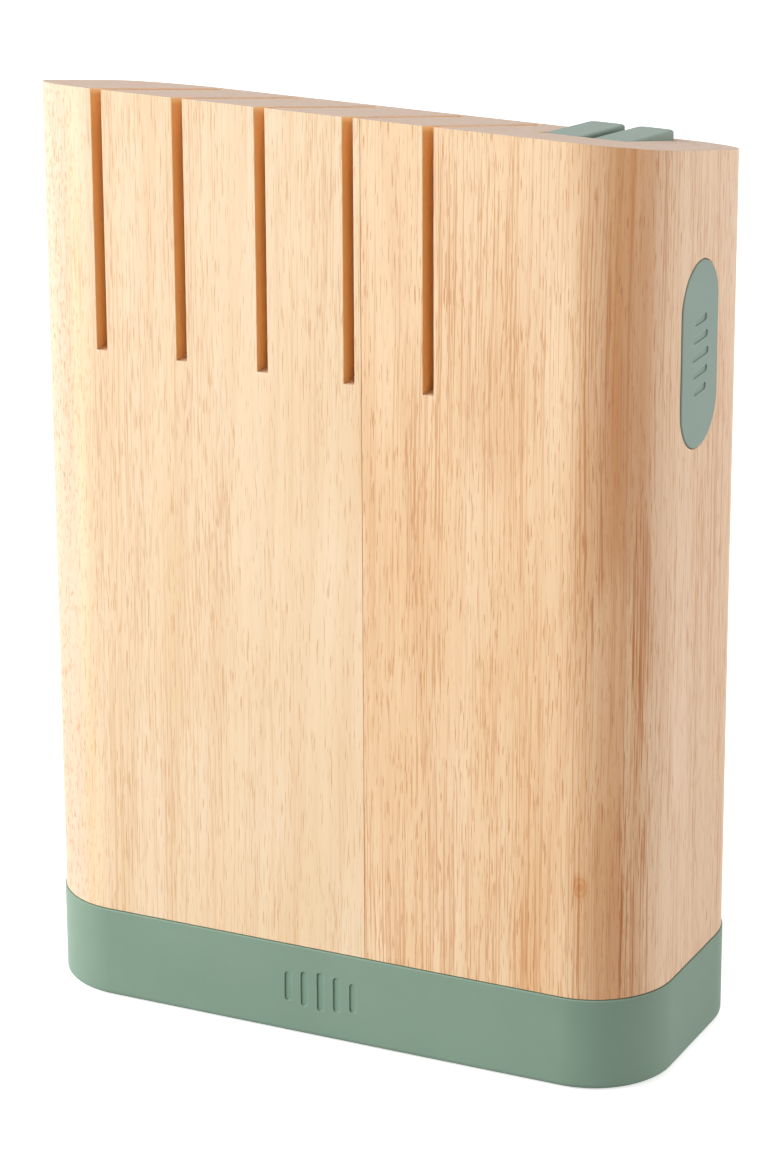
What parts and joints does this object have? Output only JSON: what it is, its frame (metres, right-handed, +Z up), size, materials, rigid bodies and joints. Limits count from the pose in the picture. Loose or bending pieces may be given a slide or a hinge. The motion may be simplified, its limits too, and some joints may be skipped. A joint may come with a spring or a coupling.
{
  "type": "knife block",
  "caption": "Laminated wooden knife block with upright blade slots open to the front, a moulded base tray and a drop-in pull-through sharpener.",
  "frame": {"origin": "on the ground under the middle of the base tray, at the centre of its footprint", "axes": "+Z up, -Y out of the front face that the slots open through, +X towards the side that carries the plate"},
  "size_m": [0.2008, 0.086, 0.286],
  "materials": {
    "wood_light": "pale cream rubberwood, sanded and lightly oiled",
    "wood_honey": "honey rubberwood, sanded and lightly oiled",
    "wood_inner": "rubberwood between the slots, end grain on top",
    "green_plastic": "matte sage green soft-touch moulding",
    "pad_rubber": "matte dark rubber",
    "ceramic": "fine white ceramic rod",
    "screw_steel": "plain steel screw"
  },
  "bodies": {
    "base": {"base_tray": "green_plastic", "pad_front_left": "pad_rubber", "pad_front_right": "pad_rubber", "pad_rear_left": "pad_rubber", "pad_rear_right": "pad_rubber"},
    "block": {"front_stave_left": "wood_light", "front_stave_right": "wood_honey", "left_stave": "wood_light", "divider_1": "wood_inner", "divider_2": "wood_inner", "divider_3": "wood_inner", "divider_4": "wood_inner", "right_stave": "wood_honey", "back_stave_left": "wood_light", "back_stave_right": "wood_honey", "side_plate": "green_plastic"},
    "sharpener": {"sharpener_half_left": "green_plastic", "sharpener_half_right": "green_plastic", "ceramic_rod_front": "ceramic", "ceramic_rod_rear": "ceramic", "screw_front": "screw_steel", "screw_rear": "screw_steel"}
  },
  "joints": [
    {"name": "block_lift", "type": "slide", "parent": "base", "child": "block", "axis": [0, 0, 1], "range_m": [0, 0.03]},
    {"name": "sharpener_lift", "type": "slide", "parent": "block", "child": "sharpener", "axis": [0, 0, 1], "range_m": [0, 0.052]}
  ]
}
